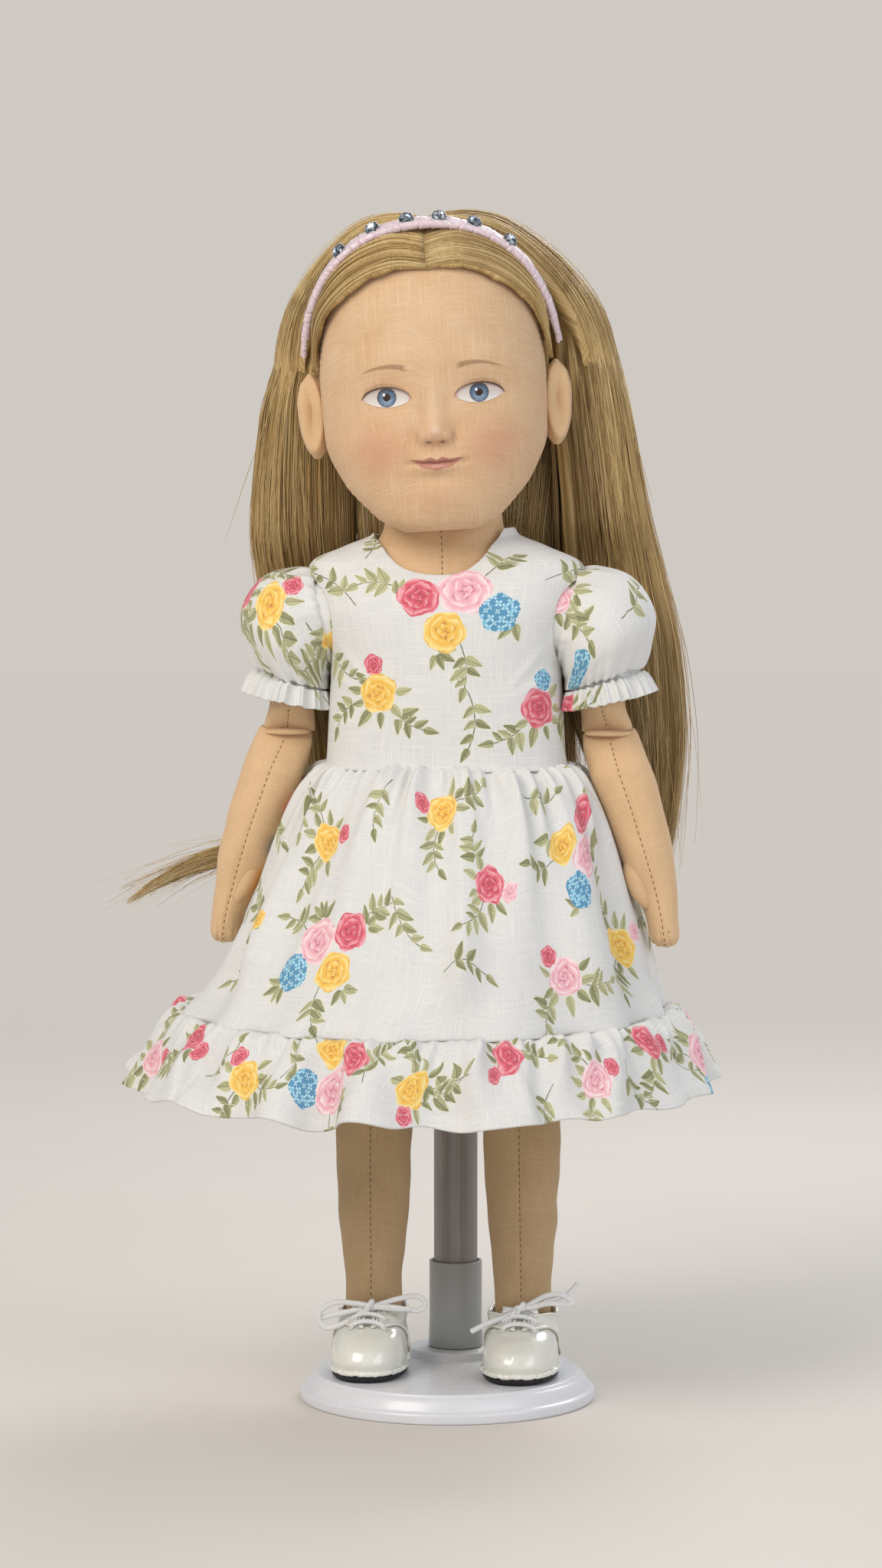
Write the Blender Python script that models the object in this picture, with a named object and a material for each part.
# Cloth doll in a print dress, held by a round doll stand.
# The doll faces -Y and up is +Z. The origin is the middle of the stand's underside.
# Lengths are in metres. "right" and "left" are the doll's own: right is -X, left is +X.

import math

import bmesh
import bpy
from mathutils import Matrix
from mathutils import Vector
from mathutils.bvhtree import BVHTree

# Fits
seat_gap = 0.0003
seam_gap = 0.0004
overrun = 0.0300

# Stand
base_radius = 0.0585
base_lip = 0.0036
base_height = 0.0108
base_edge = 0.0050
base_edge_share = 0.55
pole_behind = 0.0340
boss_radius = 0.0195
boss_rise = 0.0031
pole_radius = 0.0088
pole_edge = 0.0015
lock_radius = 0.01065
lock_wall_gap = 0.0003
lock_top = 0.0490
lock_floor = 0.0034
screw_radius = 0.0019
screw_head_radius = 0.0038
screw_head_height = 0.0024
screw_sink = 0.0012
screw_reach = 0.0026
clip_below_waist = 0.0201
clip_height = 0.0120
clip_wall = 0.0020
clip_ease = 0.0007
clip_reach = math.radians(128)
spine_width = 0.0120
collar_below_clip = 0.0485
pole_above_collar = 0.0180
collar_height = 0.0140
collar_wall = 0.0021

# Body
hip_height = 0.1860
neck_top = 0.3560
neck_lean = -0.0020
torso_half_width = 0.0460
torso_front = 0.0320
torso_back = 0.0225
torso_squareness = 2.25
waist_share = 0.392
armpit_share = 0.620
shoulder_share = 0.842

# Head
chin_height = 0.3450
head_height = 0.1180
head_half_width = 0.0445
head_front = 0.0430
head_back = 0.0400
head_roll = math.radians(-3.5)
head_turn = math.radians(5.0)
head_squareness = 2.2
ear_height = 0.0330
ear_centre = 0.0470
ear_half_width = 0.0062
ear_half_depth = 0.0085
ear_stand_off = 0.0025

# Arms
arm_front = 0.0105
arm_back = 0.0100
elbow_half_width = 0.0105
elbow_out = 0.0635
arm_root_radius = 0.0130
elbow_height = 0.2650
arm_behind = -0.0020
wrist_height = 0.2000
finger_height = 0.1810
hand_out_right = 0.0885
hand_out_left = 0.0865
forearm_half_width = 0.0115
forearm_front = 0.0108
forearm_back = 0.0098
thumb_length = 0.0190
thumb_radius = 0.0040
thumb_splay = math.radians(-3.0)
joint_gap = 0.0004

# Legs
leg_out = 0.0290
leg_top = 0.1856
leg_hinge_behind = 0.0060
leg_half_width = 0.0170
leg_front = 0.0160
leg_back = 0.0120
leg_behind = 0.0020

# Shoes
sole_gap = 0.0005
sole_height = 0.0022
welt_height = 0.0018
welt_step = 0.0006
shoe_out = 0.0300
shoe_half_width = 0.0150
shoe_front = 0.0345
shoe_back = 0.0175
shoe_squareness = 2.3
upper_height = 0.0210
ankle_share = 0.35
upper_wall = 0.0012
tongue_wall = 0.0009
tongue_half_width = 0.0058
throat_half_width = 0.0035
seam_front = -0.0205
seam_sweep = 0.0150
lace_radius = 0.0011
lace_runs = 1
knot_share = 0.30
bow_half_width = 0.0200
bow_drop = 0.0080
bow_sink = 0.0013
tail_half_width = 0.0150

# Dress
cloth_gap = 0.0005
bodice_ease = 0.0031
armhole_radius = 0.0206
neckline_half_width = 0.0275
neckline_front = 0.0290
neckline_back = 0.0175
neckline_bottom = 0.3200
side_seam_behind = -0.0040
button_radius = 0.0040
button_height = 0.0018
button_count = 3
button_step = 0.0240
button_bottom = 0.2640
sleeve_radius = 0.0197
sleeve_wall = 0.0011
sleeve_root_share = 0.93
skirt_bottom = 0.1560
skirt_half_width = 0.0950
skirt_front = 0.0900
skirt_back = 0.0840
skirt_lean = -0.0085
skirt_wall = 0.0013
skirt_folds = 14
ruffle_gap = 0.0009
ruffle_drop = 0.0290
ruffle_flare = 0.0190
ruffle_folds = 18
hem_dip = 0.0030

# Hair
hair_thickness = 0.0045
fall_top = 0.4480
fall_bottom = 0.2000
fall_spread = 0.0900
fall_behind = 0.0600
fall_split = 0.0385
fall_squareness = 2.6
left_fall_bottom = 0.2140
wisp_length = 0.0760
wisp_radius = 0.0065
wisp_root_out = -0.0612
wisp_root_height = 0.2160
wisp_behind = 0.0520
wisp_drop = 0.0250
wisp_corner_share = 0.55

# Hairband
band_width = 0.0085
band_thickness = 0.0028
band_gap = 0.0005
band_foot_behind = -0.0060
band_top_behind = -0.0240
band_foot_height = 0.4170
stone_radius = 0.0029
stone_height = 0.0019
stone_count = 6
stone_step = 0.0124

# Sides of the round forms
body_sides = 20
limb_sides = 14
hair_sides = 16
turned_sides = 28
fold_points = 5

# Stuffed forms. Each row is a place along the form, then shares of its half width, front and back.
torso_shares = (
    (0.00, 0.92, -0.06, 0.44),
    (0.05, 0.96, 0.30, 0.84),
    (0.12, 0.99, 0.72, 0.95),
    (0.22, 1.00, 0.98, 0.97),
    (0.39, 0.96, 0.98, 0.98),
    (0.54, 0.93, 1.00, 1.00),
    (0.62, 0.915, 1.00, 1.00),
    (0.73, 1.005, 0.98, 0.97),
    (0.80, 1.065, 0.86, 0.84),
    (0.842, 1.115, 0.66, 0.66),
    (0.88, 0.84, 0.54, 0.58),
    (0.91, 0.58, 0.50, 0.56),
    (0.95, 0.51, 0.47, 0.56),
    (1.00, 0.50, 0.44, 0.54),
)
head_shares = (
    (0.00, 0.30, 0.76, -0.36),
    (0.03, 0.48, 0.86, -0.10),
    (0.08, 0.63, 0.92, 0.22),
    (0.17, 0.83, 0.96, 0.68),
    (0.31, 0.98, 0.99, 0.92),
    (0.48, 1.00, 1.00, 1.00),
    (0.66, 0.97, 1.00, 1.00),
    (0.80, 0.86, 0.93, 0.92),
    (0.90, 0.67, 0.76, 0.76),
    (0.965, 0.42, 0.48, 0.50),
    (1.00, 0.12, 0.14, 0.16),
)
ear_shares = (
    (0.00, 0.20, 0.20, 0.20),
    (0.12, 0.65, 0.60, 0.65),
    (0.35, 0.95, 0.85, 0.92),
    (0.62, 1.00, 1.00, 1.00),
    (0.86, 0.75, 0.78, 0.72),
    (1.00, 0.20, 0.25, 0.25),
)
forearm_shares = (
    (0.00, 0.92, 0.00, 0.40),
    (0.05, 1.00, 0.48, 0.86),
    (0.115, 1.04, 0.98, 0.98),
    (0.25, 1.00, 1.00, 1.00),
    (0.45, 0.88, 0.90, 0.90),
    (0.62, 0.68, 0.74, 0.72),
    (0.78, 0.54, 0.84, 0.80),
    (0.90, 0.50, 0.80, 0.72),
    (0.97, 0.36, 0.56, 0.50),
    (1.00, 0.12, 0.20, 0.16),
)
thumb_shares = (
    (0.00, 0.70, 0.70, 0.70),
    (0.35, 1.00, 1.00, 1.00),
    (0.75, 0.80, 0.80, 0.80),
    (1.00, 0.25, 0.25, 0.25),
)
leg_shares = (
    (0.00, 0.88, -0.32, 0.62),
    (0.06, 0.96, 0.22, 0.98),
    (0.14, 1.00, 0.88, 1.02),
    (0.24, 1.00, 1.00, 1.04),
    (0.46, 0.91, 0.90, 1.00),
    (0.66, 0.84, 0.78, 0.98),
    (0.84, 0.68, 0.56, 0.82),
    (0.93, 0.64, 0.52, 0.76),
    (1.00, 0.58, 0.46, 0.68),
)
foot_shares = (
    (0.00, 0.72, 0.82, 0.80),
    (0.20, 0.82, 0.84, 0.84),
    (0.42, 0.78, 0.64, 0.84),
    (0.62, 0.70, 0.38, 0.80),
)
upper_shares = (
    (0.00, 0.96, 0.97, 0.96),
    (0.14, 1.00, 1.00, 1.00),
    (0.34, 0.98, 0.94, 1.00),
    (0.52, 0.93, 0.78, 0.98),
    (0.70, 0.86, 0.54, 0.96),
    (0.86, 0.87, 0.40, 0.95),
    (1.00, 0.87, 0.33, 0.97),
)

# Places along one crossing of the lace, as shares of its reach to each side.
lace_shares = (-1.00, -0.50, 0.00, 0.50, 1.00)

# Path of the bow from the knot: shares of its half width and of a tail's length, then of a cord's
# width ahead, of the drop and of a cord's width up.
bow_shares = (
    (0.00, -1.00, 3.00, 0.50, 0.00),
    (0.00, -0.50, 2.20, 0.00, 0.00),
    (0.00, 0.00, 1.20, 0.00, 0.00),
    (0.55, 0.00, 0.80, 0.00, 0.30),
    (1.00, 0.00, 1.00, 0.20, 0.60),
    (0.60, 0.00, 2.20, 0.00, 1.00),
    (0.00, 0.00, 1.20, 0.00, 1.30),
    (-0.60, 0.00, 2.20, 0.00, 1.60),
    (-1.00, 0.00, 1.00, 0.20, 1.90),
    (-0.55, 0.00, 0.20, 0.00, 2.20),
    (0.00, 0.00, 1.20, 0.00, 2.60),
    (0.00, 0.60, 3.00, 0.00, 1.80),
    (0.00, 1.00, 3.60, 0.40, 0.00),
)

# Upper arm and puff sleeve seen from the front. Each row is the side towards the body, out and up
# from the shoulder, then the far side, out and up, then the front and back.
upper_arm_shares = (
    (-0.013, -0.313, 0.228, 0.265, 1.20, 1.26),
    (0.035, -0.396, 0.430, 0.120, 1.15, 1.20),
    (0.080, -0.520, 0.500, -0.196, 1.05, 1.10),
    (0.110, -0.660, 0.500, -0.522, 0.98, 1.02),
    (0.124, -0.780, 0.515, -0.760, 0.94, 0.98),
    (0.126, -0.890, 0.560, -0.890, 0.46, 0.86),
)
elbow_back_share = 0.40
sleeve_shares = (
    (-0.09, -0.93, 0.66, 0.96, 1.00),
    (0.00, -1.02, 1.27, 0.74, 1.12),
    (0.03, -1.15, 1.70, 0.08, 1.14),
    (0.03, -1.30, 1.62, -0.55, 1.00),
    (0.06, -1.45, 1.42, -1.03, 0.82),
    (0.04, -1.62, 1.54, -1.22, 0.93),
    (0.02, -1.86, 1.66, -1.50, 1.02),
)

# Folded cloth. Each row is a place down the skirt, then shares of its half width, front and back,
# of its fold depth and of its lean.
skirt_shares = (
    (0.00, 0.500, 0.395, 0.335, 0.20, 0.00),
    (0.06, 0.545, 0.440, 0.385, 0.45, 0.00),
    (0.27, 0.662, 0.600, 0.585, 0.65, 0.06),
    (0.62, 0.790, 0.800, 0.810, 0.85, 0.22),
    (0.80, 0.864, 0.885, 0.890, 0.93, 0.42),
    (1.00, 1.00, 1.00, 1.00, 1.00, 1.00),
)
skirt_fold_share = 0.026
ruffle_fold_share = 0.030

# Ruffle. Each row is a place down it, then a share of its fold depth.
ruffle_shares = (
    (0.00, 0.300),
    (0.45, 0.615),
    (1.00, 1.000),
)

# Hair falls. Each row is a place down the fall, then shares of the inner and outer spread
# and of the front and back.
right_fall_shares = (
    (0.00, 0.44, 0.51, 0.10, 0.44),
    (0.05, 0.44, 0.62, 0.12, 0.60),
    (0.12, 0.44, 0.76, 0.16, 0.68),
    (0.24, 0.45, 0.86, 0.22, 0.70),
    (0.42, 0.45, 0.90, 0.30, 0.70),
    (0.52, 0.45, 0.87, 0.46, 0.72),
    (0.68, 0.45, 0.76, 0.49, 0.72),
    (0.80, 0.45, 0.68, 0.52, 0.76),
    (0.92, 0.45, 0.68, 0.78, 0.98),
    (1.00, 0.48, 0.66, 0.92, 1.06),
)
left_fall_shares = (
    (0.00, 0.44, 0.49, 0.10, 0.44),
    (0.05, 0.43, 0.56, 0.12, 0.58),
    (0.12, 0.43, 0.70, 0.16, 0.66),
    (0.24, 0.43, 0.78, 0.20, 0.66),
    (0.42, 0.45, 0.86, 0.28, 0.66),
    (0.51, 0.45, 0.91, 0.44, 0.70),
    (0.66, 0.47, 0.99, 0.46, 0.70),
    (0.79, 0.55, 1.01, 0.44, 0.68),
    (0.92, 0.70, 0.98, 0.42, 0.62),
    (1.00, 0.80, 0.94, 0.44, 0.56),
)
back_fall_shares = (
    (0.00, 0.42, 0.60, 0.30, 0.56),
    (0.06, 0.42, 0.90, 0.46, 0.76),
    (0.13, 0.42, 0.98, 0.50, 0.86),
    (0.24, 0.42, 0.98, 0.40, 0.92),
    (0.40, 0.42, 0.98, 0.36, 0.84),
    (0.48, 0.42, 0.98, 0.49, 0.78),
    (0.76, 0.42, 0.98, 0.50, 0.78),
    (0.80, 0.42, 0.98, 0.57, 0.82),
    (0.845, 0.42, 0.98, 0.72, 0.94),
    (0.90, 0.42, 0.96, 0.92, 1.10),
    (0.95, 0.42, 0.90, 1.05, 1.20),
    (1.00, 0.42, 0.76, 1.18, 1.28),
)
wisp_shares = (
    (0.00, 1.00, 1.00, 1.00),
    (0.30, 0.90, 0.80, 0.80),
    (0.60, 0.60, 0.55, 0.55),
    (0.85, 0.30, 0.30, 0.30),
    (1.00, 0.08, 0.08, 0.08),
)

# Set stone. Each row is a share of its radius and of its height.
stone_shares = (
    (0.86, 0.00),
    (1.00, 0.25),
    (0.80, 0.75),
    (0.45, 1.00),
)

# Hairline seen from the side, as shares of the head's front and of its height, top to bottom.
temple_share = 0.58
hairline_shares = (
    (-0.945, 0.885),
    (-0.72, 0.79),
    (-0.36, 0.66),
    (0.10, 0.57),
    (0.30, 0.50),
    (0.34, -0.20),
)

# Colours
linen = "C89F77"
linen_leg = "A98A66"
hair_colour = "9C845A"
dress_white = "E9EBEE"
satin = "E6D9DC"
stone_colour = "B9C4D2"
shoe_white = "DCDCD2"
sole_black = "1D1C1C"
stand_white = "D8D8DC"
pole_grey = "8D8988"
steel = "B8B8BA"


# Colour and pieces

def linear(channel):
    share = channel / 255
    if share <= 0.04045:
        return share / 12.92
    return ((share + 0.055) / 1.055) ** 2.4


def finish(name, colour, roughness, metallic):
    material = bpy.data.materials.new(name + "_finish")
    material.use_nodes = True
    shader = material.node_tree.nodes["Principled BSDF"]
    channels = [linear(int(colour[place:place + 2], 16)) for place in (0, 2, 4)]
    shader.inputs["Base Color"].default_value = (*channels, 1)
    shader.inputs["Roughness"].default_value = roughness
    shader.inputs["Metallic"].default_value = metallic
    material.diffuse_color = (*channels, 1)
    return material


def add_piece(name, mesh, colour, roughness, metallic=0, parent=None):
    piece = bpy.data.objects.new(name, mesh)
    bpy.context.collection.objects.link(piece)
    mesh.materials.append(finish(name, colour, roughness, metallic))
    mesh.shade_smooth()
    mesh.set_sharp_from_angle(angle=math.radians(50))
    hang_on(piece, parent)
    return piece


def add_cutter(name, mesh, parent=None):
    cutter = bpy.data.objects.new(name, mesh)
    bpy.context.collection.objects.link(cutter)
    cutter.hide_render = True
    cutter.display_type = "WIRE"
    hang_on(cutter, parent)
    return cutter


# A child of a turning pivot is modelled in place, so the pivot's own place is taken out.
def hang_on(child, parent):
    if parent is None:
        return
    child.parent = parent
    if not parent.get("tilts"):
        child.matrix_parent_inverse = Matrix.Translation(parent.location).inverted()


def add_pivot(name, place):
    pivot = bpy.data.objects.new(name, None)
    pivot.location = place
    bpy.context.collection.objects.link(pivot)
    return pivot


def cut(piece, cutter, operation="DIFFERENCE"):
    modifier = piece.modifiers.new(cutter.name, "BOOLEAN")
    modifier.operation = operation
    modifier.object = cutter
    modifier.solver = "EXACT"


# Curves and rings

def slope_at(rows, index, column):
    if index == 0 or index == len(rows) - 1:
        first = max(index - 1, 0)
        second = first + 1
        return (rows[second][column] - rows[first][column]) / (rows[second][0] - rows[first][0])
    before = (rows[index][column] - rows[index - 1][column]) / (rows[index][0] - rows[index - 1][0])
    after = (rows[index + 1][column] - rows[index][column]) / (rows[index + 1][0] - rows[index][0])
    if before * after <= 0:
        return 0
    return 2 * before * after / (before + after)


# Smooth curve through the rows of a form, without overshoot.
def read_rows(rows, place):
    index = 0
    while index < len(rows) - 2 and place > rows[index + 1][0]:
        index += 1
    start = rows[index]
    end = rows[index + 1]
    span = end[0] - start[0]
    mix = (place - start[0]) / span
    rise = mix * mix * (3 - 2 * mix)
    values = []
    for column in range(1, len(start)):
        lead = span * slope_at(rows, index, column) * mix * (1 - mix) ** 2
        trail = span * slope_at(rows, index + 1, column) * mix * mix * (mix - 1)
        values.append(start[column] * (1 - rise) + end[column] * rise + lead + trail)
    return values


def on_oval(angle, squareness=2):
    power = 2 / squareness
    across = math.copysign(abs(math.cos(angle)) ** power, math.cos(angle))
    ahead = math.copysign(abs(math.sin(angle)) ** power, math.sin(angle))
    return across, ahead


# Ring round a centre, from half_width, and from front (-Y) to back (+Y).
def oval_ring(centre, across, half_width, front, back, sides, squareness=2):
    ring = []
    for step in range(sides):
        share_across, share_back = on_oval(2 * math.pi * step / sides, squareness)
        depth = (back - front) / 2 + share_back * (back + front) / 2
        ring.append(centre + across * (half_width * share_across) + Vector((0, depth, 0)))
    return ring


def circle_ring(centre, radius, sides):
    return oval_ring(centre, Vector((1, 0, 0)), radius, radius, radius, sides)


def straight(start, end):
    def path(place):
        return start.lerp(end, place), (end - start).normalized()
    return path


# Path from start to end that leaves start towards the corner and comes into end from it.
def bent(start, corner, end):
    def path(place):
        centre = start.lerp(corner, place).lerp(corner.lerp(end, place), place)
        heading = (corner - start).lerp(end - corner, place).normalized()
        return centre, heading
    return path


# Ring between two points of the front view, from front (-Y) to back (+Y) of the plane behind.
def spanning_ring(inner, outer, behind, front, back, sides):
    centre = (inner + outer) / 2 + Vector((0, behind, 0))
    half = (outer - inner) / 2
    return oval_ring(centre, half.normalized(), half.length, front, back, sides)


def form_rings(path, rows, half_width, front, back, sides, squareness=2, places=None):
    rings = []
    for place in places or [row[0] for row in rows]:
        width_share, front_share, back_share = read_rows(rows, place)
        centre, heading = path(place)
        across = Vector((0, 1, 0)).cross(heading)
        ring = oval_ring(centre, across, half_width * width_share, front * front_share,
                         back * back_share, sides, squareness)
        rings.append(ring)
    return rings


# Same rings moved inwards along their surface.
def inset(rings, depth):
    moved = []
    last = len(rings) - 1
    for level, ring in enumerate(rings):
        above = rings[min(level + 1, last)]
        below = rings[max(level - 1, 0)]
        middle = sum(ring, Vector()) / len(ring)
        inner = []
        for step, point in enumerate(ring):
            around = ring[(step + 1) % len(ring)] - ring[step - 1]
            outward = around.cross(above[step] - below[step]).normalized()
            if outward.dot(point - middle) < 0:
                outward.negate()
            inner.append(point - outward * depth)
        moved.append(inner)
    return moved


def mesh_from(name, build):
    grid = bmesh.new()
    build(grid)
    bmesh.ops.recalc_face_normals(grid, faces=grid.faces)
    mesh = bpy.data.meshes.new(name)
    grid.to_mesh(mesh)
    grid.free()
    return mesh


def skin(grid, rings, looped):
    levels = [[grid.verts.new(point) for point in ring] for ring in rings]
    count = len(levels)
    for level in range(count if looped else count - 1):
        low = levels[level]
        high = levels[(level + 1) % count]
        for step in range(len(low)):
            after = (step + 1) % len(low)
            grid.faces.new((low[step], low[after], high[after], high[step]))
    return levels


def solid(name, rings):
    def build(grid):
        levels = skin(grid, rings, False)
        grid.faces.new(levels[0])
        grid.faces.new(levels[-1])
    return mesh_from(name, build)


def shell(name, rings, wall):
    inner = inset(rings, wall)
    return mesh_from(name, lambda grid: skin(grid, rings + inner[::-1], True))


def turned(name, profile, centre, sides=turned_sides):
    rings = [circle_ring(centre + Vector((0, 0, height)), radius, sides) for radius, height in profile]
    return solid(name, rings)


def box(name, low, high):
    rings = []
    for height in (low[2], high[2]):
        corners = ((low[0], low[1]), (high[0], low[1]), (high[0], high[1]), (low[0], high[1]))
        rings.append([Vector((x, y, height)) for x, y in corners])
    return solid(name, rings)


# Outline in the YZ plane, run across the doll.
def slab_across(name, outline, half_width):
    rings = [[Vector((x, y, z)) for y, z in outline] for x in (-half_width, half_width)]
    return solid(name, rings)


# Outline in the XY plane, run upwards.
def slab_upright(name, outline, low, high):
    rings = [[Vector((x, y, z)) for x, y in outline] for z in (low, high)]
    return solid(name, rings)


def grown(mesh, distance):
    grid = bmesh.new()
    grid.from_mesh(mesh)
    grid.normal_update()
    for vertex, normal in [(vertex, vertex.normal.copy()) for vertex in grid.verts]:
        vertex.co += normal * distance
    result = bpy.data.meshes.new(mesh.name + "_grown")
    grid.to_mesh(result)
    grid.free()
    return result


def tube(name, points, radius, colour, roughness, resolution, parent=None):
    curve = bpy.data.curves.new(name, "CURVE")
    curve.dimensions = "3D"
    curve.bevel_depth = radius
    curve.bevel_resolution = resolution
    curve.use_fill_caps = True
    line = curve.splines.new("POLY")
    line.points.add(len(points) - 1)
    for place, point in zip(line.points, points):
        place.co = (*point, 1)
    piece = bpy.data.objects.new(name, curve)
    bpy.context.collection.objects.link(piece)
    curve.materials.append(finish(name, colour, roughness, 0))
    hang_on(piece, parent)
    return piece


# Smooth curve through a few points.
def smooth_through(points, between):
    result = []
    count = len(points)
    for index in range(count - 1):
        before = points[max(index - 1, 0)]
        start = points[index]
        end = points[index + 1]
        after = points[min(index + 2, count - 1)]
        for step in range(between):
            t = step / between
            lead = (end - before) * (0.5 * t)
            bend = (before * 2 - start * 5 + end * 4 - after) * (0.5 * t * t)
            close = (start * 3 - before - end * 3 + after) * (0.5 * t ** 3)
            result.append(start + lead + bend + close)
    result.append(points[-1])
    return result


# Places worked out from the sizes

torso_span = neck_top - hip_height
waist_height = hip_height + torso_span * waist_share
armpit_height = hip_height + torso_span * armpit_share
shoulder_height = hip_height + torso_span * shoulder_share
sole_bottom = base_height + sole_gap
welt_bottom = sole_bottom + sole_height
upper_bottom = welt_bottom + welt_height
upper_top = upper_bottom + upper_height
clip_bottom = waist_height - clip_below_waist
collar_bottom = clip_bottom - collar_below_clip
pole_top = collar_bottom + pole_above_collar


def torso_side(share):
    return torso_half_width * read_rows(torso_shares, share)[0]


armpit = Vector((torso_side(armpit_share), 0, armpit_height))
shoulder_tip = Vector((torso_side(shoulder_share), 0, shoulder_height))
armhole_up = (shoulder_tip - armpit).normalized()
armhole_out = Vector((armhole_up.z, 0, -armhole_up.x))
shoulder_place = (armpit + shoulder_tip) / 2 + Vector((0, arm_behind, 0)) + armhole_out * seam_gap
elbow_place = Vector((elbow_out, arm_behind, elbow_height))
arm_drop = shoulder_place.z - elbow_height


# Mirrors a place to the doll's right (-1) or left (+1).
def to_side(point, side):
    return Vector((point.x * side, point.y, point.z))


# Stand

def make_base():
    rim = base_radius - base_edge
    half_way = (base_lip + base_height) / 2
    profile = [
        (base_radius - seam_gap, 0),
        (base_radius, seam_gap),
        (base_radius, base_lip),
        (base_radius - base_edge * base_edge_share, half_way),
        (rim, base_height - seam_gap),
        (rim - base_edge / 4, base_height),
    ]
    centre = Vector((0, pole_behind, 0))
    base = add_piece("stand_base", turned("stand_base", profile, Vector()), stand_white, 0.4)
    boss_top = base_height + boss_rise
    boss_profile = [
        (boss_radius, base_height / 2),
        (boss_radius, boss_top - boss_rise / 3),
        (boss_radius - boss_rise / 3, boss_top),
    ]
    boss = add_cutter("boss_form", turned("boss_form", boss_profile, centre))
    cut(base, boss, "UNION")
    hole_radius = screw_radius + seat_gap
    head_hole = screw_head_radius + seat_gap
    head_top = screw_sink + screw_head_height + seat_gap
    hole_profile = [
        (head_hole, -overrun),
        (head_hole, head_top),
        (hole_radius, head_top),
        (hole_radius, boss_top + overrun),
    ]
    hole = add_cutter("screw_hole", turned("screw_hole", hole_profile, centre, limb_sides))
    cut(base, hole)


def make_screw():
    top = base_height + boss_rise + screw_reach
    head_top = screw_sink + screw_head_height
    profile = [
        (screw_head_radius, screw_sink),
        (screw_head_radius, head_top),
        (screw_radius, head_top),
        (screw_radius, top),
    ]
    mesh = turned("base_screw", profile, Vector((0, pole_behind, 0)), limb_sides)
    add_piece("base_screw", mesh, steel, 0.35, 1)


def make_lock_sleeve():
    bottom = base_height + boss_rise + seat_gap
    hole_radius = screw_radius + seat_gap
    hole_top = base_height + boss_rise + screw_reach + seat_gap
    bore = pole_radius + lock_wall_gap
    profile = [
        (hole_radius, hole_top),
        (hole_radius, bottom),
        (lock_radius - seam_gap, bottom),
        (lock_radius, bottom + seam_gap),
        (lock_radius, lock_top - seam_gap),
        (lock_radius - seam_gap, lock_top),
        (bore, lock_top),
        (bore, bottom + lock_floor),
    ]
    mesh = turned("stand_sleeve", profile, Vector((0, pole_behind, 0)))
    add_piece("stand_sleeve", mesh, pole_grey, 0.4)


def make_pole(pivot):
    bottom = base_height + boss_rise + seat_gap + lock_floor + seat_gap
    profile = [
        (pole_radius - pole_edge, bottom),
        (pole_radius, bottom + pole_edge),
        (pole_radius, pole_top - pole_edge),
        (pole_radius - pole_edge, pole_top),
    ]
    mesh = turned("pole", profile, Vector((0, pole_behind, 0)))
    add_piece("pole", mesh, pole_grey, 0.3, 0.6, pivot)


def torso_edge(angle, height, ease):
    width_share, front_share, back_share = read_rows(torso_shares, (height - hip_height) / torso_span)
    front = torso_front * front_share + ease
    back = torso_back * back_share + ease
    across, ahead = on_oval(angle, torso_squareness)
    depth = (back - front) / 2 + ahead * (back + front) / 2
    return Vector(((torso_half_width * width_share + ease) * across, depth, height))


def make_waist_clip(pivot):
    low = clip_bottom
    high = clip_bottom + clip_height
    steps = 28
    rings = []
    for step in range(steps + 1):
        angle = math.pi / 2 + clip_reach * (2 * step / steps - 1)
        corners = ((low, 0), (low, clip_wall), (high, clip_wall), (high, 0))
        rings.append([torso_edge(angle, height, clip_ease + wall) for height, wall in corners])
    clip = add_piece("waist_clip", solid("waist_clip", rings), pole_grey, 0.35, 0.6, pivot)
    spine_front = pole_behind - pole_radius - seat_gap - clip_wall
    low_corner = (-spine_width / 2, spine_front, collar_bottom + seam_gap)
    high_corner = (spine_width / 2, spine_front + clip_wall, clip_bottom + clip_height - seam_gap)
    spine = add_cutter("spine_form", box("spine_form", low_corner, high_corner), pivot)
    cut(clip, spine, "UNION")
    bore = pole_radius + seat_gap
    ring_outside = bore + collar_wall
    centre = Vector((0, pole_behind, 0))
    rings = []
    for radius, height in ((ring_outside, collar_bottom), (ring_outside, collar_bottom + collar_height)):
        rings.append(circle_ring(centre + Vector((0, 0, height)), radius, turned_sides))
    collar = add_cutter("collar_form", shell("collar_form", rings, collar_wall), pivot)
    cut(clip, collar, "UNION")


# Body

def torso_rings():
    def path(place):
        lean = neck_lean * max(place - shoulder_share, 0) / (1 - shoulder_share)
        return Vector((lean, 0, hip_height + torso_span * place)), Vector((0, 0, 1))
    return form_rings(path, torso_shares, torso_half_width, torso_front, torso_back,
                      body_sides, torso_squareness)


def make_torso(pivot):
    mesh = solid("torso", torso_rings())
    return add_piece("torso", mesh, linen, 0.9, 0, pivot)


def make_head(head_pivot, torso):
    path = straight(Vector(), Vector((0, 0, head_height)))
    rings = form_rings(path, head_shares, head_half_width, head_front, head_back,
                       body_sides + 4, head_squareness)
    head = add_piece("head", solid("head", rings), linen, 0.85, 0, head_pivot)
    neck_mesh = grown(torso.data, seat_gap)
    neck = add_cutter("neck_socket", neck_mesh, torso.parent)
    cut(head, neck)
    return head


def make_ear(side, head_pivot, head_cutter):
    foot = Vector((side * (head_half_width + ear_stand_off), 0, ear_centre - ear_height / 2))
    top = foot + Vector((side * ear_stand_off / 2, 0, ear_height))
    rings = form_rings(straight(foot, top), ear_shares, ear_half_width, ear_half_depth,
                       ear_half_depth, limb_sides)
    name = "ear_left" if side > 0 else "ear_right"
    ear = add_piece(name, solid(name, rings), linen, 0.9, 0, head_pivot)
    cut(ear, head_cutter)


# Arms

# Edge points of the front view, from the shoulder outwards, on one side of the doll.
def from_shoulder(side, out, up, unit):
    place = shoulder_place + Vector((out, 0, up)) * unit
    return Vector((place.x * side, 0, place.z))


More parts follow.
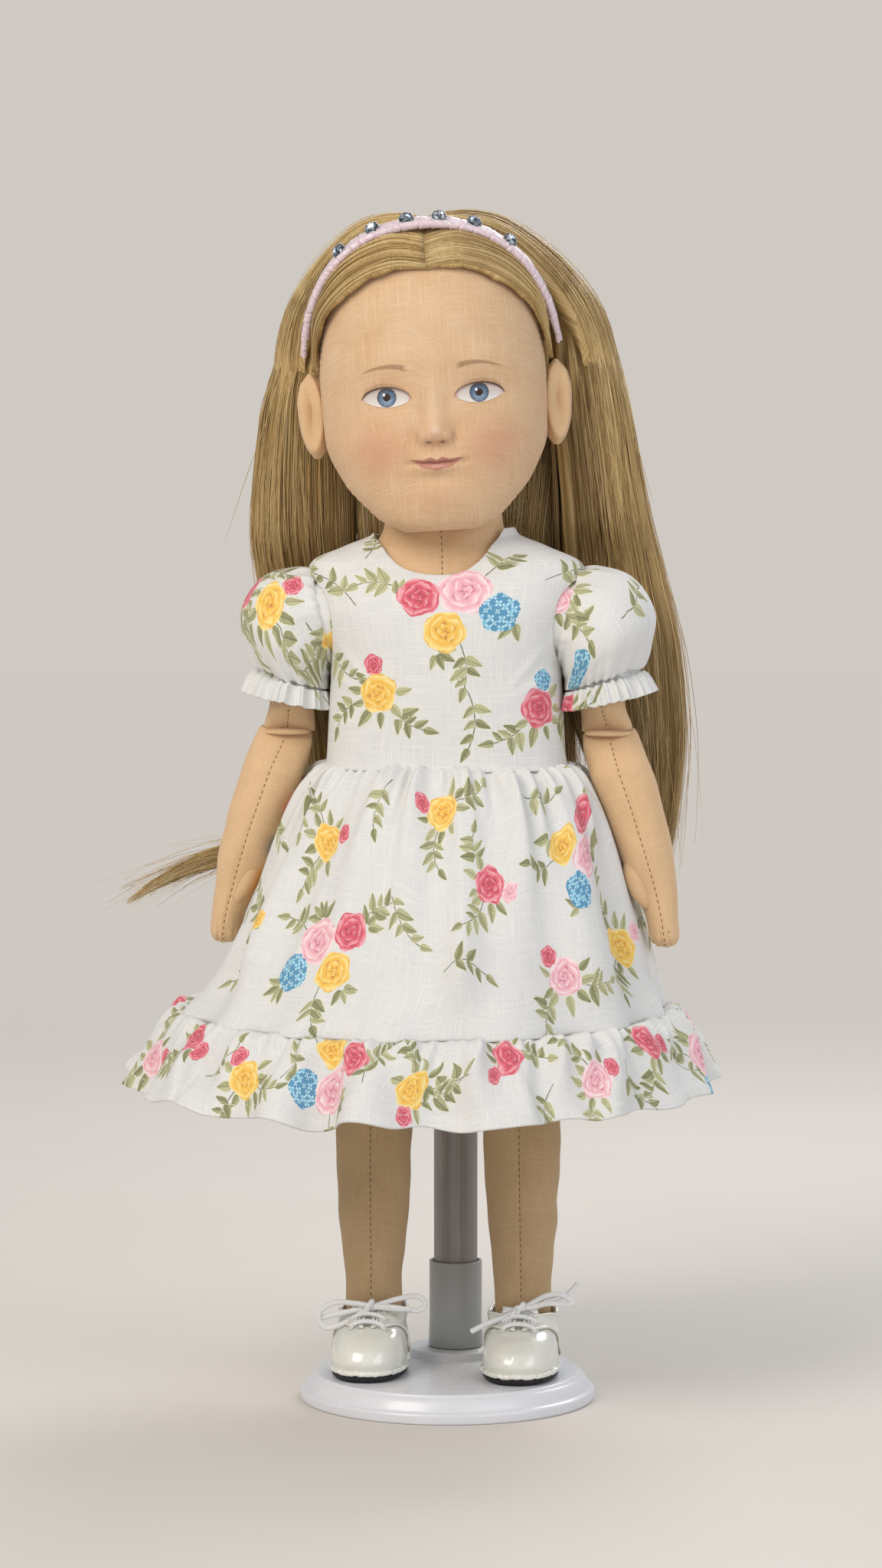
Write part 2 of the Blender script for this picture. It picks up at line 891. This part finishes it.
def root_ring(side, radius, front, back, stand_off, sides):
    start = shoulder_place + armhole_out * stand_off
    start.y = 0
    low = to_side(start - armhole_up * radius, side)
    high = to_side(start + armhole_up * radius, side)
    return spanning_ring(low, high, arm_behind, front, back, sides)


def make_upper_arm(side, name, pivot):
    rings = [root_ring(side, arm_root_radius, arm_root_radius, arm_root_radius, seam_gap, limb_sides)]
    for inner_out, inner_up, outer_out, outer_up, front_share, back_share in upper_arm_shares:
        inner = from_shoulder(side, inner_out, inner_up, arm_drop)
        outer = from_shoulder(side, outer_out, outer_up, arm_drop)
        rings.append(spanning_ring(inner, outer, arm_behind, arm_front * front_share,
                                   arm_back * back_share, limb_sides))
    end_height = elbow_height + joint_gap
    inner = Vector((side * (elbow_out - elbow_half_width), 0, end_height))
    outer = Vector((side * (elbow_out + elbow_half_width), 0, end_height))
    rings.append(spanning_ring(inner, outer, arm_behind, 0, arm_back * elbow_back_share, limb_sides))
    add_piece(name, solid(name, rings), linen, 0.9, 0, pivot)


def make_forearm(side, name, pivot):
    start = elbow_place - Vector((0, 0, joint_gap))
    hand_out = hand_out_left if side > 0 else hand_out_right
    wrist = Vector((hand_out, arm_behind, wrist_height))
    fingers = Vector((hand_out, arm_behind, finger_height))
    path = bent(to_side(start, side), to_side(wrist, side), to_side(fingers, side))
    rings = form_rings(path, forearm_shares, forearm_half_width, forearm_front, forearm_back,
                       limb_sides)
    rings[0] = [Vector((point.x, point.y, start.z)) for point in rings[0]]
    forearm = add_piece(name, solid(name, rings), linen, 0.9, 0, pivot)
    thumb_start = wrist + Vector((-thumb_radius, -thumb_radius, thumb_radius))
    thumb_end = thumb_start + Vector((math.sin(thumb_splay), 0, -math.cos(thumb_splay))) * thumb_length
    path = straight(to_side(thumb_start, side), to_side(thumb_end, side))
    thumb_rings = form_rings(path, thumb_shares, thumb_radius, thumb_radius, thumb_radius, limb_sides - 4)
    thumb = add_cutter(name + "_thumb_form", solid(name + "_thumb", thumb_rings), pivot)
    cut(forearm, thumb, "UNION")


# Legs and shoes

def shoe_path(side):
    start = Vector((side * shoe_out, 0, upper_bottom))
    return straight(start, start + Vector((0, 0, upper_height)))


def make_leg(side, name, pivot):
    middle = Vector((0, leg_behind, 0))
    top = Vector((side * leg_out, 0, leg_top)) + middle
    bottom = Vector((side * shoe_out, 0, upper_bottom + upper_height * ankle_share)) + middle
    rings = form_rings(straight(top, bottom), leg_shares, leg_half_width, leg_front, leg_back,
                       limb_sides + 2)
    rings[0] = [Vector((point.x, point.y, leg_top)) for point in rings[0]]
    leg = add_piece(name, solid(name, rings), linen_leg, 0.9, 0, pivot)
    start = Vector((side * shoe_out, 0, upper_bottom + seat_gap))
    path = straight(start, start + Vector((0, 0, upper_height)))
    foot_rings = form_rings(path, foot_shares, shoe_half_width, shoe_front, shoe_back,
                            limb_sides + 2, shoe_squareness)
    foot = add_cutter(name + "_foot_form", solid(name + "_foot", foot_rings), pivot)
    cut(leg, foot, "UNION")


def outline_layer(name, side, low, high, step_out):
    rings = []
    start = Vector((side * shoe_out, 0, 0))
    width_share, front_share, back_share = upper_shares[0][1:]
    for height in (low, high):
        rings.append(oval_ring(start + Vector((0, 0, height)), Vector((1, 0, 0)),
                               shoe_half_width * width_share + step_out,
                               shoe_front * front_share + step_out,
                               shoe_back * back_share + step_out, limb_sides + 6, shoe_squareness))
    return solid(name, rings)


def seam_outline(side, ease):
    points = []
    steps = 8
    reach = shoe_half_width + overrun
    for step in range(steps + 1):
        across = -reach + 2 * reach * step / steps
        share = across / shoe_half_width
        points.append((side * shoe_out + across, seam_front + ease + seam_sweep * share * share))
    points.append((side * shoe_out + reach, -shoe_front - overrun))
    points.append((side * shoe_out - reach, -shoe_front - overrun))
    return points


def upper_rings(side):
    return form_rings(shoe_path(side), upper_shares, shoe_half_width, shoe_front, shoe_back,
                      limb_sides + 6, shoe_squareness)


def make_upper(side, suffix, pivot):
    rings = upper_rings(side)
    for point in rings[0]:
        point.z += seat_gap
    low = upper_bottom - overrun
    high = upper_top + overrun
    vamp = add_piece("shoe_vamp_" + suffix, shell("shoe_vamp_" + suffix, rings, upper_wall),
                     shoe_white, 0.3, 0, pivot)
    front_block = slab_upright("vamp_region_" + suffix, seam_outline(side, 0), low, high)
    cut(vamp, add_cutter("vamp_region_" + suffix, front_block, pivot), "INTERSECT")
    quarters = add_piece("shoe_quarters_" + suffix, shell("shoe_quarters_" + suffix, rings, upper_wall),
                         shoe_white, 0.3, 0, pivot)
    clear_block = slab_upright("quarters_clear_" + suffix, seam_outline(side, seam_gap), low, high)
    cut(quarters, add_cutter("quarters_clear_" + suffix, clear_block, pivot))
    middle = side * shoe_out
    slot = box("throat_" + suffix, (middle - throat_half_width, -shoe_front, upper_bottom),
               (middle + throat_half_width, 0, high))
    cut(quarters, add_cutter("throat_" + suffix, slot, pivot))
    under = inset(rings, upper_wall + seat_gap)
    tongue = add_piece("shoe_tongue_" + suffix, shell("shoe_tongue_" + suffix, under, tongue_wall),
                       shoe_white, 0.35, 0, pivot)
    strip = box("tongue_region_" + suffix,
                (middle - tongue_half_width, seam_front - tongue_half_width, upper_bottom + upper_height / 3),
                (middle + tongue_half_width, 0, high))
    cut(tongue, add_cutter("tongue_region_" + suffix, strip, pivot), "INTERSECT")


def shoe_surface(side):
    rings = upper_rings(side)
    mesh = solid("shoe_surface", rings)
    grid = bmesh.new()
    grid.from_mesh(mesh)
    tree = BVHTree.FromBMesh(grid)
    grid.free()
    bpy.data.meshes.remove(mesh)
    return tree


def on_surface(tree, x, y, stand_off):
    above = Vector((x, y, upper_top + overrun))
    place, normal, _, _ = tree.ray_cast(above, Vector((0, 0, -1)))
    return place + normal * stand_off


def make_lace(side, suffix, pivot):
    tree = shoe_surface(side)
    middle = side * shoe_out
    reach = throat_half_width + lace_radius * 2
    lift = lace_radius + seat_gap * 2
    first = seam_front + lace_radius * 2
    step_back = lace_radius * 2 + seat_gap * 3
    points = []
    for run in range(lace_runs + 1):
        way = -1 if run % 2 else 1
        back = first + step_back * run
        for share in lace_shares:
            points.append(on_surface(tree, middle + way * reach * share, back, lift))
        if run < lace_runs:
            for turn in (45, 90, 135):
                angle = math.radians(turn)
                across = reach + step_back / 2 * math.sin(angle)
                behind = back + step_back / 2 * (1 - math.cos(angle))
                points.append(on_surface(tree, middle + way * across, behind, lift))
    tube("shoe_lace_" + suffix, smooth_through(points, 2), lace_radius, shoe_white, 0.8, 1, pivot)


# The bow is one cord: tail, loop, knot, loop, tail, each pass at the knot above the last.
def make_bow(side, suffix, pivot):
    knot = Vector((side * shoe_out, -shoe_front * knot_share, upper_top + lace_radius - bow_sink))
    pitch = lace_radius * 2 + seat_gap * 2
    lift = Vector((0, 0, pitch))
    ahead = Vector((0, -pitch, 0))
    wide = Vector((bow_half_width, 0, 0))
    drop = Vector((0, 0, bow_drop))
    tail = Vector((tail_half_width, 0, 0))
    route = []
    for wide_share, tail_share, ahead_share, drop_share, lift_share in bow_shares:
        spread = wide * wide_share + tail * tail_share
        route.append(knot + spread + ahead * ahead_share - drop * drop_share + lift * lift_share)
    tube("shoe_bow_" + suffix, smooth_through(route, 3), lace_radius, shoe_white, 0.8, 1, pivot)


def make_shoe(side, suffix, pivot):
    sole = outline_layer("shoe_sole_" + suffix, side, sole_bottom, welt_bottom - seat_gap, welt_step)
    add_piece("shoe_sole_" + suffix, sole, sole_black, 0.6, 0, pivot)
    welt = outline_layer("shoe_welt_" + suffix, side, welt_bottom, upper_bottom, welt_step * 2)
    add_piece("shoe_welt_" + suffix, welt, shoe_white, 0.5, 0, pivot)
    make_upper(side, suffix, pivot)
    make_lace(side, suffix, pivot)
    make_bow(side, suffix, pivot)


# Dress

def make_bodice(pivot, torso):
    outer = grown(torso.data, bodice_ease)
    inner = add_cutter("bodice_lining", grown(torso.data, cloth_gap), pivot)
    reach = torso_half_width + overrun
    top = neck_top + overrun
    hem = add_cutter("bodice_hem", box("bodice_hem", (-reach, -reach, 0),
                                       (reach, reach, waist_height + seam_gap / 2)), pivot)
    neck_rings = []
    for height in (neckline_bottom, top):
        neck_rings.append(oval_ring(Vector((neck_lean, 0, height)), Vector((1, 0, 0)),
                                    neckline_half_width, neckline_front, neckline_back, body_sides + 8))
    neckline = add_cutter("neckline", solid("neckline", neck_rings), pivot)
    armholes = []
    for side in (-1, 1):
        rings = []
        for depth in (-seam_gap * 2, overrun):
            centre = to_side(shoulder_place + armhole_out * depth, side)
            across = to_side(armhole_up, side)
            rings.append(oval_ring(centre, across, armhole_radius, armhole_radius, armhole_radius,
                                   body_sides + 4))
        name = "armhole_left" if side > 0 else "armhole_right"
        armholes.append(add_cutter(name, solid(name, rings), pivot))
    half_gap = seam_gap / 2
    regions = (
        ("bodice_front", (-reach, -reach, 0), (reach, side_seam_behind - half_gap, top)),
        ("bodice_back_right", (-reach, side_seam_behind + half_gap, 0), (-half_gap, reach, top)),
        ("bodice_back_left", (half_gap, side_seam_behind + half_gap, 0), (reach, reach, top)),
    )
    for name, low, high in regions:
        panel = add_piece(name, outer.copy(), dress_white, 0.85, 0, pivot)
        region = add_cutter(name + "_region", box(name + "_region", low, high), pivot)
        cut(panel, region, "INTERSECT")
        for cutter in (hem, neckline, *armholes, inner):
            cut(panel, cutter)


def make_buttons(pivot):
    for index in range(button_count):
        height = button_bottom + button_step * index
        back = torso_edge(math.pi / 2, height, bodice_ease + seat_gap).y
        rings = []
        for depth in (back, back + button_height):
            centre = Vector((0, depth, height))
            ring = []
            for step in range(limb_sides):
                angle = 2 * math.pi * step / limb_sides
                ring.append(centre + Vector((math.cos(angle), 0, math.sin(angle))) * button_radius)
            rings.append(ring)
        name = "back_button_" + str(index + 1)
        add_piece(name, solid(name, rings), dress_white, 0.35, 0, pivot)


def make_sleeve(side, name, pivot):
    root = sleeve_radius * sleeve_root_share
    rings = [root_ring(side, root, root, root, seam_gap, limb_sides + 6)]
    for inner_out, inner_up, outer_out, outer_up, depth_share in sleeve_shares:
        inner = from_shoulder(side, inner_out, inner_up, sleeve_radius)
        outer = from_shoulder(side, outer_out, outer_up, sleeve_radius)
        depth = sleeve_radius * depth_share
        rings.append(spanning_ring(inner, outer, arm_behind, depth, depth, limb_sides + 6))
    add_piece(name, shell(name, rings, sleeve_wall), dress_white, 0.85, 0, pivot)


def fold_wave(angle, folds, depth):
    return 1 - depth * math.cos(folds * angle + math.sin(3 * angle))


def skirt_ring(height, lean, half_width, front, back, folds, depth, dip):
    ring = []
    count = folds * fold_points
    for step in range(count):
        angle = 2 * math.pi * step / count
        wave = fold_wave(angle, folds, depth)
        middle = (back - front) / 2
        half_depth = (back + front) / 2
        x = lean + half_width * wave * math.cos(angle)
        y = middle + half_depth * wave * math.sin(angle)
        ring.append(Vector((x, y, height + dip * math.sin(angle))))
    return ring


def make_skirt(pivot):
    top = waist_height - seam_gap / 2
    rings = []
    for place, width_share, front_share, back_share, fold_share, lean_share in skirt_shares:
        rings.append(skirt_ring(top + (skirt_bottom - top) * place, skirt_lean * lean_share,
                                skirt_half_width * width_share, skirt_front * front_share,
                                skirt_back * back_share, skirt_folds,
                                skirt_fold_share * fold_share, hem_dip * place))
    add_piece("skirt", shell("skirt", rings, skirt_wall), dress_white, 0.85, 0, pivot)


def make_ruffle(pivot):
    top = skirt_bottom - ruffle_gap
    rings = []
    for place, fold_share in ruffle_shares:
        flare = ruffle_flare * place
        rings.append(skirt_ring(top - ruffle_drop * place, skirt_lean * (1 + place / 4),
                                skirt_half_width + flare, skirt_front + flare, skirt_back + flare,
                                ruffle_folds, ruffle_fold_share * fold_share, hem_dip * (1 + place / 2)))
    add_piece("hem_ruffle", shell("hem_ruffle", rings, skirt_wall), dress_white, 0.85, 0, pivot)


# Hair

def hairline_block(name, head_pivot):
    points = [(head_front * y, head_height * z) for y, z in hairline_shares]
    outline = [(-head_front - overrun, points[0][1])] + points
    outline.append((-head_front - overrun, points[-1][1]))
    return add_cutter(name, slab_across(name, outline, head_half_width + overrun), head_pivot)


def band_plane(offset):
    foot = Vector((0, band_foot_behind + offset, band_foot_height - chin_height))
    top = Vector((0, band_top_behind + offset, head_height))
    return foot, top


def front_block(name, offset, head_pivot, low_x, high_x):
    foot, top = band_plane(offset)
    lean = (top - foot) / (top.z - foot.z)
    low = foot - lean * (foot.z - head_height * temple_share)
    high = top + lean * overrun
    front = -head_front - overrun
    outline = [(front, low.z), (low.y, low.z), (high.y, high.z), (front, high.z)]
    rings = [[Vector((x, y, z)) for y, z in outline] for x in (low_x, high_x)]
    return add_cutter(name, solid(name, rings), head_pivot)


def make_hair_cap(head_pivot, head, torso):
    outer = grown(head.data, hair_thickness)
    inner = add_cutter("cap_lining", grown(head.data, cloth_gap), head_pivot)
    hairline = hairline_block("hairline", head_pivot)
    wide = head_half_width + overrun
    middle = seam_gap / 2
    cap = add_piece("hair_cap", outer, hair_colour, 0.45, 0, head_pivot)
    neck_room = add_cutter("neck_room", grown(torso.data, bodice_ease + seat_gap), torso.parent)
    band_clear = front_block("cap_front", middle, head_pivot, -wide, wide)
    for cutter in (inner, hairline, band_clear, neck_room):
        cut(cap, cutter)
    for name, low_x, high_x in (("hair_front_right", -wide, -middle), ("hair_front_left", middle, wide)):
        sweep = add_piece(name, outer.copy(), hair_colour, 0.45, 0, head_pivot)
        cut(sweep, front_block(name + "_region", -middle, head_pivot, low_x, high_x), "INTERSECT")
        cut(sweep, inner)
        cut(sweep, hairline)


def make_hairband(head_pivot, head):
    inside = hair_thickness + band_gap
    outer = grown(head.data, inside + band_thickness)
    inner = add_cutter("band_inside", grown(head.data, inside), head_pivot)
    foot, top = band_plane(-band_width / 2)
    lean = (top - foot) / (top.z - foot.z)
    high = top + lean * overrun
    outline = [(foot.y, foot.z), (foot.y + band_width, foot.z),
               (high.y + band_width, high.z), (high.y, high.z)]
    block = slab_across("band_region", outline, head_half_width + overrun)
    band = add_piece("hairband", outer, satin, 0.4, 0, head_pivot)
    cut(band, add_cutter("band_region", block, head_pivot), "INTERSECT")
    cut(band, inner)
    return outer


def make_stones(head_pivot, band_mesh):
    grid = bmesh.new()
    grid.from_mesh(band_mesh)
    tree = BVHTree.FromBMesh(grid)
    grid.free()
    high = head_height + overrun
    foot, top = band_plane(band_width / 4)
    for index in range(stone_count):
        x = stone_step * (index - (stone_count - 1) / 2)
        place = None
        for attempt in range(3):
            depth = top.y if place is None else depth_on_band(foot, top, place.z)
            place, normal, _, _ = tree.ray_cast(Vector((x, depth, high)), Vector((0, 0, -1)))
        turn = Vector((0, 0, 1)).rotation_difference(normal).to_matrix()
        rings = []
        for radius_share, height_share in stone_shares:
            ring = circle_ring(Vector((0, 0, stone_height * height_share)), stone_radius * radius_share,
                               limb_sides - 2)
            centre = place + normal * (seat_gap * 2)
            rings.append([turn @ point + centre for point in ring])
        name = "band_stone_" + str(index + 1)
        add_piece(name, solid(name, rings), stone_colour, 0.1, 0, head_pivot)


def depth_on_band(foot, top, height):
    share = (height - foot.z) / (top.z - foot.z)
    return foot.y + (top.y - foot.y) * share


def make_fall(name, side, rows, bottom, pivot, cutters):
    rings = []
    for place, inner_share, outer_share, front_share, back_share in rows:
        inner = fall_spread * inner_share
        outer = fall_spread * outer_share
        if side == 0:
            inner = -outer * fall_split / fall_spread
            outer = outer * fall_split / fall_spread
        centre = Vector(((side or 1) * (inner + outer) / 2, 0, fall_top + (bottom - fall_top) * place))
        rings.append(oval_ring(centre, Vector((1, 0, 0)), (outer - inner) / 2, -fall_behind * front_share,
                               fall_behind * back_share, hair_sides, fall_squareness))
    fall = add_piece(name, solid(name, rings), hair_colour, 0.45, 0, pivot)
    for cutter in cutters:
        cut(fall, cutter)


def make_wisp(pivot):
    start = Vector((wisp_root_out - seam_gap, wisp_behind, wisp_root_height))
    end = start + Vector((-wisp_length, 0, -wisp_drop))
    corner = start + Vector((-wisp_length * wisp_corner_share, 0, 0))
    rings = form_rings(bent(start, corner, end), wisp_shares, wisp_radius, wisp_radius, wisp_radius,
                       limb_sides - 4)
    add_piece("hair_wisp", solid("hair_wisp", rings), hair_colour, 0.45, 0, pivot)


def make_hair(pivot, head_pivot, head, torso):
    make_hair_cap(head_pivot, head, torso)
    cap_room = add_cutter("cap_room", grown(head.data, hair_thickness + seat_gap), head_pivot)
    make_fall("hair_fall_right", -1, right_fall_shares, fall_bottom, pivot, [cap_room])
    make_fall("hair_fall_left", 1, left_fall_shares, left_fall_bottom, pivot, [cap_room])
    make_fall("hair_fall_back", 0, back_fall_shares, fall_bottom, pivot, [cap_room])
    make_wisp(pivot)


def make_doll(doll):
    torso = make_torso(doll)
    head_pivot = add_pivot("head_pivot", (neck_lean, 0, chin_height))
    head_pivot["tilts"] = True
    head_pivot.rotation_euler = (0, head_roll, head_turn)
    head = make_head(head_pivot, torso)
    ear_cutter = add_cutter("head_side", grown(head.data, seat_gap), head_pivot)
    for side in (-1, 1):
        suffix = "left" if side > 0 else "right"
        make_ear(side, head_pivot, ear_cutter)
        shoulder = add_pivot("shoulder_" + suffix, to_side(shoulder_place, side))
        make_sleeve(side, "sleeve_" + suffix, shoulder)
        make_upper_arm(side, "upper_arm_" + suffix, shoulder)
        elbow = add_pivot("elbow_" + suffix, to_side(elbow_place, side))
        make_forearm(side, "forearm_" + suffix, elbow)
        hip = add_pivot("hip_" + suffix, (side * leg_out, leg_hinge_behind, hip_height))
        make_leg(side, "leg_" + suffix, hip)
        make_shoe(side, suffix, hip)
    make_bodice(doll, torso)
    make_buttons(doll)
    make_skirt(doll)
    make_ruffle(doll)
    make_hair(doll, head_pivot, head, torso)
    band_mesh = make_hairband(head_pivot, head)
    make_stones(head_pivot, band_mesh)


def main():
    for item in list(bpy.data.objects):
        bpy.data.objects.remove(item, do_unlink=True)
    make_base()
    make_screw()
    make_lock_sleeve()
    pole_pivot = add_pivot("pole_slide", (0, pole_behind, lock_top))
    make_pole(pole_pivot)
    make_waist_clip(pole_pivot)
    make_doll(pole_pivot)


main()
